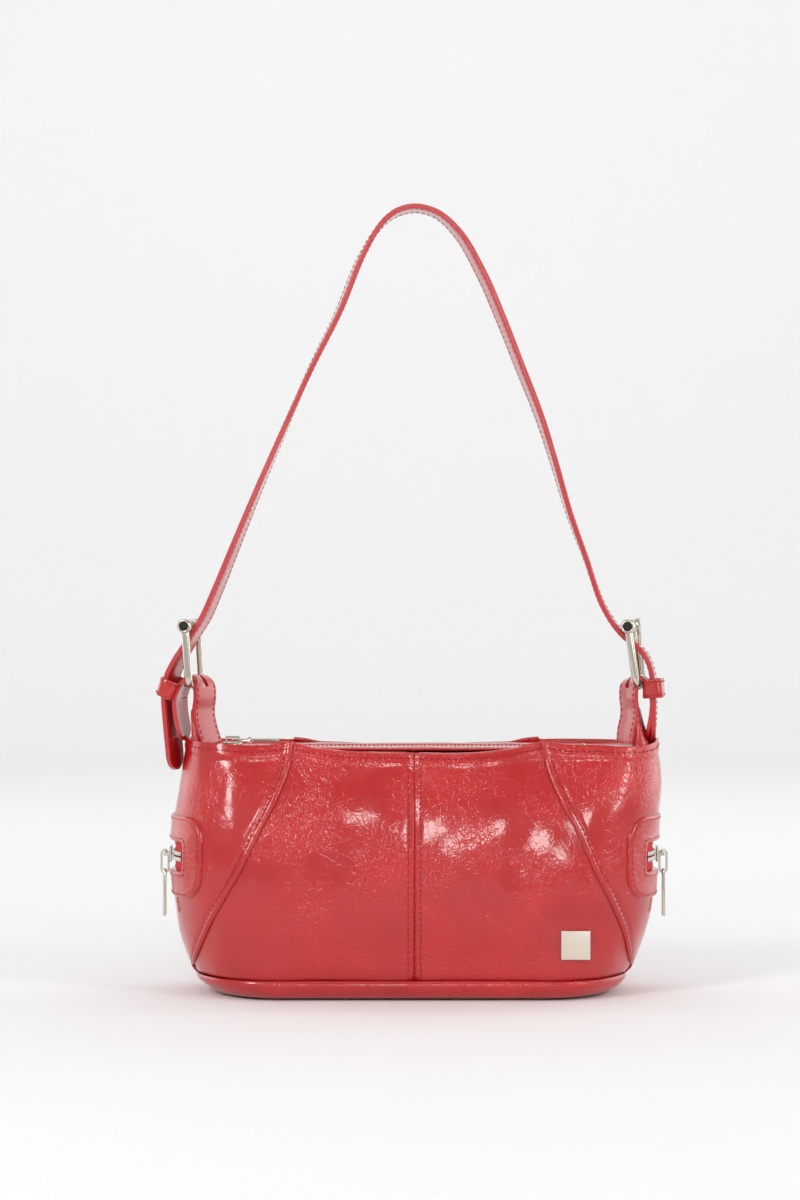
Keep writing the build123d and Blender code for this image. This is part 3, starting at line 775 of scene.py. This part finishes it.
# ---- strip along the top edge: over the hem, then level under the facings. It follows the outline at
# each height, and its rows go from the outer leather inward ----
for name, side in SIDES.items():
    line = np.linspace(0, 1, 170)[None, :]
    drop = np.array([0.7, 0.2, -0.6, 0.0, 0.0])[:, None]
    inward_lift = np.array([-0.4, -1.5, -2.6, -5.4, -11.0])[:, None]
    lowest = np.array([0.0, 0.0, 0.0, 140.6, 140.0])[:, None]
    highest = np.array([200.0, 200.0, 142.4, 140.6, 140.0])[:, None]
    whole = half_round(side, np.full(170, top_z))[None, :]
    place = whole * line + 0 * drop
    z = np.clip(hem_z(side, place) + drop - 0.9, lowest, highest)
    points, normals = wall_at(side, half_round(side, z) * line, z, inward_lift + 1.0 + 0 * place)
    rim_strip = sheet_object(f"top_edge_leather_{name}", points, patent_smooth, 1.1, flip=side > 0)
    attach(rim_strip, "bag")

# ---- lining: a soft bag inside the leather, seen when the flaps lift ----
def inner_floor(name, side, z, lift, slack, material, wall):
    """Level sheet inside the bag: its edge follows the bag's side at a height, drawn in by the lift."""
    height = np.full(110, z)
    around = half_round(side, height) * np.linspace(0, 1, 110)
    edge = wall_at(side, around, height, lift, slack)[0]
    rows = np.stack([edge * [1, k, 1] for k in (1.0, 0.66, 0.33, 0.0)])
    return sheet_object(name, rows, material, wall, flip=side > 0)


for name, side in SIDES.items():
    rise = np.linspace(4.2, 138.5, 46)[:, None]
    share = np.linspace(0, 1, 110)[None, :]
    place = half_round(side, rise + 0 * share) * share
    x_here = np.abs(wall_at(side, place, rise + 0 * share, 0, 0)[0][..., 0])
    sunk = 4.0 * step(125.0, 128.5, x_here) * step(67.0, 71.0, rise) * step(93.0, 89.0, rise)
    points, normals = wall_at(side, place, rise + 0 * share, -4.4 - 1.5 * step(20, 4, rise) - sunk, 1.2)
    wall_sheet = sheet_object(f"lining_twill_{name}", points, lining_cloth, 0.6, flip=side < 0)
    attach(wall_sheet, "bag")
    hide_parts("lining")
    floor_sheet = inner_floor(f"lining_floor_{name}", side, 5.0, -5.9, 1.2, lining_cloth, 0.6)
    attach(floor_sheet, "bag")

    # fibreboard under the lining's floor, cut to the bag's own outline
    board_sheet = inner_floor(f"base_board_{name}", side, 3.4, -7.0, 0, board, 1.3)
    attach(board_sheet, "bag")
    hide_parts("base_board")

# ---------------------------------------------------------------- metal and hard pieces
def hard_piece(node, body, material, bevel, segments=3):
    """Finished copy of a hard CAD piece, put on its body."""
    piece = refined(node, material, bevel, segments)
    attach(piece, body)


for name in SIDES:
    hard_piece(f"buckle_frame_{name}", "strap_set", nickel, 0.25)
    hard_piece(f"buckle_roller_{name}", f"roller_{name}", nickel, 0.3)
    hard_piece(f"buckle_prong_{name}", f"prong_{name}", nickel, 0.7)
    hard_piece(f"side_slider_{name}", f"side_slider_{name}", nickel, 0.3)
    hard_piece(f"side_pull_link_{name}", f"side_link_{name}", nickel, 0.3)
    hard_piece(f"side_pull_tag_{name}", f"side_tag_{name}", nickel, 0.35)
    hard_piece(f"side_zip_teeth_{name}", "bag", nickel_bright, 0.4)
hard_piece("name_plate", "bag", satin_plate, 0.35)
hard_piece("zip_slider", "main_slider", nickel, 0.3)
hard_piece("zip_pull_link", "main_link", nickel, 0.3)
hard_piece("zip_pull_tag", "main_tag", nickel, 0.45)
hard_piece("zip_teeth_front", "front_flap", nickel_bright, 0.4, 2)
hard_piece("zip_teeth_back", "back_flap", nickel_bright, 0.4, 2)
hard_piece("zip_teeth_ends", "bag", nickel_bright, 0.4, 2)
hard_piece("zip_stops", "bag", nickel, 0.3, 2)

# ---------------------------------------------------------------- strap
# each row is the middle of the strap: x, z and how far its width is turned from straight front to back,
# in degrees
strap_line = np.array([
    [-139.2, 129.0, 21], [-140.0, 140.0, 20], [-141.0, 150.0, 20], [-141.9, 160.0, 20], [-142.5, 168.0, 20],
    [-142.5, 176.0, 20], [-141.1, 184.0, 18], [-137.5, 192.0, 16], [-132.8, 200.0, 13], [-127.8, 208.0, 11],
    [-122.0, 217.5, 11], [-116.0, 231.0, 10], [-104.0, 260.6, 7], [-91.2, 292.1, 3], [-76.2, 327.0, -1],
    [-60.0, 363.8, -6],
    [-44.2, 396.0, -9], [-29.3, 431.5, -8], [-23.0, 442.4, -6], [-16.6, 450.0, -4], [-10.6, 454.2, -2],
    [-4.6, 456.3, 0], [1.2, 456.9, 0], [8.0, 455.7, -1], [13.6, 453.4, -2], [19.6, 448.8, -4],
    [25.8, 442.0, -6], [38.6, 420.2, -8], [50.9, 392.2, -8], [60.9, 366.8, -7], [74.2, 332.6, -5],
    [81.8, 308.8, -3], [91.0, 278.0, 0], [100.2, 253.0, 3], [111.9, 222.0, 7], [117.6, 213.0, 8],
    [123.8, 206.2, 9], [130.2, 201.4, 9], [135.2, 195.8, 9], [138.5, 188.5, 9], [140.0, 180.0, 9],
    [140.4, 170.0, 8],
    [140.2, 160.0, 7], [139.9, 151.0, 6], [139.6, 145.0, 6],
])
lengths = np.concatenate([[0], np.cumsum(np.hypot(*np.diff(strap_line[:, :2], axis=0).T))])
along = np.linspace(0, lengths[-1], 420)
strap_place = smooth_through(lengths, strap_line, along)
strap_path = np.stack([strap_place[:, 0], 0 * along, strap_place[:, 1]], axis=1)
strap_run = unit(np.gradient(strap_path, axis=0))


def turned_across(run, degrees):
    """Direction of a band's width: front to back turned about the upright by the degrees, then squared to
    its run."""
    turn = np.radians(degrees)
    across = np.stack([np.sin(turn), np.cos(turn), 0 * turn], axis=-1)
    return unit(across - (across * run).sum(axis=-1, keepdims=True) * run)


strap_across = turned_across(strap_run, strap_place[:, 2])
strap_up = np.cross(strap_across, strap_run)
half_section = np.array([
    [0, 1.5], [-4, 1.52], [-7.0, 1.5], [-7.7, 1.34], [-8.4, 1.5], [-9.3, 1.46],
    [-9.75, 1.25], [-9.98, 0.8], [-9.96, 0.35], [-9.7, 0.0],
])
lower_left = half_section[::-1][1:] * [1, -1]
left_side = np.concatenate([half_section, lower_left])
right_side = (left_side[::-1] * [-1, 1])[1:-1]
strap_section = np.concatenate([left_side, right_side])
edge_columns = np.abs(strap_section[:, 0]) > 9.5
tip = np.minimum(along, lengths[-1] - along)
taper = round_end(1 - tip / 10, 0.03)
section = strap_section[None] * np.stack([taper, np.ones_like(taper)], axis=1)[:, None]
strap = carried("strap_leather", strap_path, strap_across, strap_up, section, patent_smooth)
strap.data.materials.append(edge_paint)
columns = len(strap_section)
paint = np.zeros(len(strap.data.polygons), np.int32)
grid = paint[: (len(along) - 1) * columns].reshape(-1, columns)
grid[:, edge_columns & np.roll(edge_columns, -1)] = 1
strap.data.polygons.foreach_set("material_index", paint)
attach(strap, "strap_set")
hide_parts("strap")
inside = tip > 8
for face, sign in (("outer", 1), ("inner", -1)):
    for edge, offset in (("front", -7.7), ("back", 7.7)):
        line = strap_path + strap_across * offset + strap_up * sign * 1.38
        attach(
            stitches(f"strap_stitches_{face}_{edge}", line[inside], (strap_up * sign)[inside], thread),
            "strap_set",
        )

# adjusting holes: a pressed nickel rim on both faces, two on each leg
ring_turn = np.linspace(0, 2 * math.pi, 24, endpoint=False)
rim_section = np.array([[0.2, -0.1], [1.5, -0.1], [1.75, 0.12], [2.1, 0.25], [2.45, 0.12], [2.7, -0.12]])
for name, spots in (("left", ((-110.4, 244.5), (-96.0, 280.5))), ("right", ((103.2, 245.0), (91.6, 276.5)))):
    for index, (x, z) in enumerate(spots):
        at = int(np.argmin(np.hypot(strap_path[:, 0] - x, strap_path[:, 2] - z)))
        for face, sign in (("outer", 1), ("inner", -1)):
            out, wide, run = strap_up[at] * sign, strap_across[at], strap_run[at]
            wheel = np.cos(ring_turn)[:, None] * wide + np.sin(ring_turn)[:, None] * run
            centre = strap_path[at] + out * 1.5
            points = centre + rim_section[:, None, 0:1] * wheel[None] + rim_section[:, None, 1:2] * out
            rim = ring_object(f"strap_hole_{name}_{index}_{face}", points, nickel, flip=sign > 0)
            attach(rim, "strap_set")

# ---------------------------------------------------------------- chapes, ears and keepers
heels = {"left": (-1, -128.0), "right": (1, 131.0)}
heel_z = 179
heel_yaw = 10
leg_yaw = {"left": 31, "right": -22}
outer_yaw_more = {"left": 6, "right": 0}
leg_foot = {"left": -10.4, "right": -8.4}
for name, (side, heel_x) in heels.items():
    corner = np.array([
        [6.4, -33.0], [8.0, -25.0], [9.4, -17.0], [9.7, -9.0], [7.9, -2.2], [5.0, 2.9], [2.5, 4.8],
        [0.0, 5.1],
        [-2.5, 4.7], [-4.9, 2.2], [-6.4, -2.5], [-6.6, -8.5], [-6.0, -14.0], [-6.1, -19.0], [-7.6, -26.0],
        [leg_foot[name], -34.8],
    ])
    reach = np.concatenate([[0], np.cumsum(np.hypot(*np.diff(corner, axis=0).T))])
    step_along = np.linspace(0, reach[-1], 96)
    place = smooth_through(reach, corner, step_along)
    path = np.stack([heel_x + side * place[:, 0], 0 * step_along, heel_z + place[:, 1]], axis=1)
    run = unit(np.gradient(path, axis=0))
    inner_part = step(reach[-1] * 0.5, reach[-1] * 0.62, step_along)
    outer_part = step(reach[-1] * 0.4, reach[-1] * 0.25, step_along)
    twist = heel_yaw + (leg_yaw[name] - heel_yaw) * inner_part + outer_yaw_more[name] * outer_part
    wide = turned_across(run, twist)
    from_end = np.minimum(step_along, reach[-1] - step_along + 7)
    taper = round_end(1 - from_end / 9, 0.01)
    offsets = np.concatenate([np.linspace(-10, -2.3, 9), np.linspace(-1.1, 1.1, 3), np.linspace(2.3, 10, 9)])
    dome = 0.5 * (1 - (offsets / 10) ** 2)
    out = np.cross(wide, run) * side
    sideways = wide[:, None] * (offsets[None, :, None] * taper[:, None, None])
    points = path[:, None] + sideways + out[:, None] * dome[None, :, None]
    rows, columns = points.shape[:2]
    faces = np.array(grid_faces(rows, columns, flip=side > 0)).reshape(rows - 1, columns - 1, 4)
    slot_rows = (place[:-1, 1] > -1.5)[:, None]
    slot_columns = ((offsets[:-1] > -2.4) & (offsets[:-1] < 2.2))[None, :]
    kept = faces[~(slot_rows & slot_columns)].tolist()
    chape = mesh_object(f"chape_leather_{name}", points, kept, patent_smooth)
    chape.data.materials.append(edge_paint)
    thicken(chape, 2.3).material_offset_rim = 1
    round_edges(chape, 0.5, 2, 50)
    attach(chape, "strap_set")
    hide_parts(f"chape_{name}")
    sewn = from_end > 6
    for edge, offset in (("front", -8.2), ("back", 8.2)):
        line = path + wide * (offset * taper)[:, None] + out * 0.2
        for leg, part in (
            ("outer", step_along < reach[-1] / 2 - 8), ("inner", step_along > reach[-1] / 2 + 8),
        ):
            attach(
                stitches(f"chape_stitches_{leg}_{edge}_{name}", line[sewn & part], out[sewn & part], thread),
                "strap_set",
            )

# the ear is the side panel's own leather, gathered into pleats at its root and held between the chape's legs
ear_base = {"left": (-3.4, 2.2), "right": (3.8, 4.8)}
ear_half = {"left": 7.0, "right": 8.4}
for name, (side, heel_x) in heels.items():
    rise = np.linspace(0, 1, 50)[:, None]
    turn = np.linspace(0, 2 * math.pi, 72, endpoint=False)[None, :]
    wide = 5.0 * (1 - rise) ** 2 + ear_half[name] + 0 * turn
    round_off = round_end((rise - 0.82) / 0.18, 0.0004)
    pleats = 1.3 * (1 - rise) ** 1.3 * np.cos(np.cos(turn) * wide * 0.75 + rise * 1.4)
    thick = (1.8 + ear_base[name][1] * (1 - rise) ** 2 + pleats) * np.sqrt(round_off)
    yaw = math.radians(heel_yaw)
    a = wide * round_off * np.sign(np.cos(turn)) * np.abs(np.cos(turn)) ** 0.8
    b = thick * np.sign(np.sin(turn)) * np.abs(np.sin(turn)) ** 0.7
    lean = heel_x + side * (ear_base[name][0] * (1 - rise) ** 1.5)
    x = lean + side * b + a * math.sin(yaw)
    y = a * math.cos(yaw)
    z = 138.5 + 27 * rise - 1.6 * (1 - rise) * (np.cos(turn)) ** 2
    ear = ring_object(f"ear_leather_{name}", np.stack([x, y, z], axis=-1), patent, flip=side > 0)
    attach(ear, "bag")

keeper_lean = {"left": 22, "right": 4}
keeper_yaw = {"left": 20, "right": 9}
keeper_out = {"left": 12.2, "right": 9.0}
for name, (side, heel_x) in heels.items():
    plan = rounded_loop(12.2, 5.0, 3.6, 96)
    lean = math.radians(keeper_lean[name])
    yaw = math.radians(keeper_yaw[name])
    middle = np.array([heel_x + side * keeper_out[name], 0, heel_z - 2.5])
    wide = np.array([math.sin(yaw), math.cos(yaw), 0.0])
    level = np.array([side * math.cos(yaw), -side * math.sin(yaw), 0.0])
    tilted = level * math.cos(lean) + np.array([0, 0, 1.0]) * math.sin(lean)
    axis = np.cross(wide, tilted) * -side
    path = middle + plan[:, 0:1] * wide + plan[:, 1:2] * tilted
    run = unit(np.roll(path, -1, axis=0) - np.roll(path, 1, axis=0))
    height = np.tile(axis, (96, 1))
    section = rounded_profile(11.0, 1.7, 0.75)
    out = np.cross(height, run)
    ripple = 0.35 * np.sin(np.arange(96)[:, None] * 2 * math.pi * 5 / 96 + section[None, :, 0] * 0.9)
    shaped = np.stack([section[None, :, 0] * (1 + 0.03 * ripple), section[None, :, 1] + ripple], axis=-1)
    keeper = carried(f"keeper_leather_{name}", path, height, out, shaped, patent_smooth, wrap=True)
    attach(keeper, f"keeper_{name}")
    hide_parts(f"keeper_{name}")
    for edge, offset in (("upper", 3.9), ("lower", -3.9)):
        outward_sign = np.sign(((path - middle) * out).sum(axis=1))[:, None]
        line = path + height * offset + out * outward_sign * 0.95
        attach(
            stitches(
                f"keeper_stitches_{edge}_{name}", line, out * outward_sign, thread, pitch=2.8, length=2.0,
            ),
            f"keeper_{name}",
        )

# ---- each roller's ends: a turned collar in the frame's upper corners, round the roller's axis, with a
# dark disc in its bore that is painted shade of the hollow ----
frame_tilt = {"left": 4, "right": -8}
roller_above_heel = 34
collar_section = np.array(
    [
        [2.5, 16.2], [2.7, 17.2], [3.1, 17.55], [3.7, 17.2], [4.1, 16.3], [4.15, 14.0], [4.1, 11.4],
        [3.5, 11.0], [2.6, 11.0],
    ]
)
bore_shade_section = np.array([[0.0, 16.5], [1.4, 16.45], [2.55, 16.3]])
collar_turn = np.linspace(0, 2 * math.pi, 40, endpoint=False)
for name, (side, heel_x) in heels.items():
    tilt = math.radians(frame_tilt[name])
    middle = np.array([
        heel_x + side * roller_above_heel * math.sin(tilt), 0, heel_z + roller_above_heel * math.cos(tilt),
    ])
    yaw = math.radians(heel_yaw)
    wide = np.array([math.sin(yaw), math.cos(yaw), 0.0])
    level = np.array([wide[1], -wide[0], 0.0])
    wheel = np.cos(collar_turn)[:, None] * level + np.sin(collar_turn)[:, None] * np.array([0, 0, 1.0])
    for end, sign in (("front", -1), ("back", 1)):
        # the dark disc in each collar is painted shade, not a part of the buckle
        for part, section, metal in (("collar", collar_section, nickel), ("bore_shade", bore_shade_section, bore_shade)):
            points = middle + section[:, None, 0:1] * wheel[None] + section[:, None, 1:2] * wide * sign
            inside_out = (sign > 0) != (part == "bore_shade")
            collar = ring_object(f"roller_{part}_{end}_{name}", points, metal, flip=inside_out)
            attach(collar, "strap_set")

# ---------------------------------------------------------------- stage, light and camera
def soft_light(name, place, target, size, power, colour="#FFFFFF"):
    """Soft box: a square area light aimed at a point."""
    data = bpy.data.lights.new(name, "AREA")
    data.shape = "RECTANGLE"
    data.size, data.size_y = size
    data.energy = power
    data.color = linear(colour)[:3]
    lamp = bpy.data.objects.new(name, data)
    lamp.location = place
    aim = np.array(target, float) - np.array(place, float)
    yaw = math.atan2(aim[1], aim[0]) - math.pi / 2
    pitch = math.atan2(aim[2], math.hypot(aim[0], aim[1])) + math.pi / 2
    lamp.rotation_euler = (pitch, 0, yaw)
    bpy.context.collection.objects.link(lamp)


# the backdrop is a shallow bowl of white paper: level under the bag, then curving up into a wall all round
bowl_turn = np.linspace(0, 2 * math.pi, 96, endpoint=False)[None, :]
bowl_curve = np.linspace(0, math.pi / 2, 14)
bowl_reach = np.concatenate([[0.1, 600, 1500], 2100 + 800 * np.sin(bowl_curve), [2900]])[:, None]
bowl_rise = np.concatenate([[0, 0, 0], 800 - 800 * np.cos(bowl_curve), [2300]])[:, None]
sweep_points = np.stack(
    [bowl_reach * np.cos(bowl_turn), bowl_reach * np.sin(bowl_turn), bowl_rise + 0 * bowl_turn], axis=-1,
)
paper, paper_tree, paper_shader = blank_material("matt_backdrop_paper")
fibre = add_node(
    paper_tree, "ShaderNodeTexNoise", None, Vector=object_place(paper_tree), Scale=1 / (4 * MM), Detail=2.0,
)
tooth_relief = add_node(
    paper_tree, "ShaderNodeBump", None, Strength=0.03, Distance=0.05 * MM, Height=fibre.outputs["Fac"],
)
paper_shader.inputs["Base Color"].default_value = linear("#F4F4F4")
paper_shader.inputs["Roughness"].default_value = 0.9
paper_tree.links.new(tooth_relief.outputs[0], paper_shader.inputs["Normal"])
backdrop = ring_object("backdrop", sweep_points, paper)

soft_light("key_box", (-0.95, -1.15, 0.95), (0, 0, 0.1), (0.34, 0.6), 8.5)
soft_light("right_box", (1.15, -0.95, 0.75), (0, 0, 0.1), (0.22, 0.8), 5.5)
soft_light("top_box", (0.1, -0.2, 1.7), (0, 0, 0.1), (1.6, 1.2), 3.6)
soft_light("front_fill", (0.1, -2.1, 0.75), (0, 0, 0.15), (0.34, 0.4), 4.2)
soft_light("right_wall", (1.7, 0.75, 0.35), (0, 0, 0.15), (1.3, 1.5), 9.5)
soft_light("left_wall", (-1.7, 0.75, 0.35), (0, 0, 0.15), (1.3, 1.5), 7)
soft_light("back_wash", (0, 0.7, 2.1), (0, 2.9, 0.6), (2.6, 0.7), 20)

world = bpy.data.worlds.new("studio")
bpy.context.scene.world = world
world.use_nodes = True
background = world.node_tree.nodes["Background"]
background.inputs["Color"].default_value = linear("#F6F6F6")
background.inputs["Strength"].default_value = 0.46
bpy.context.scene.view_settings.view_transform = "Standard"

camera_data = bpy.data.cameras.new("camera")
camera_data.lens = 77
camera = bpy.data.objects.new("camera", camera_data)
camera.location = (-0.0082, -1.5, 0.228)
camera.rotation_euler = (math.pi / 2, 0, 0)
bpy.context.collection.objects.link(camera)
bpy.context.scene.camera = camera
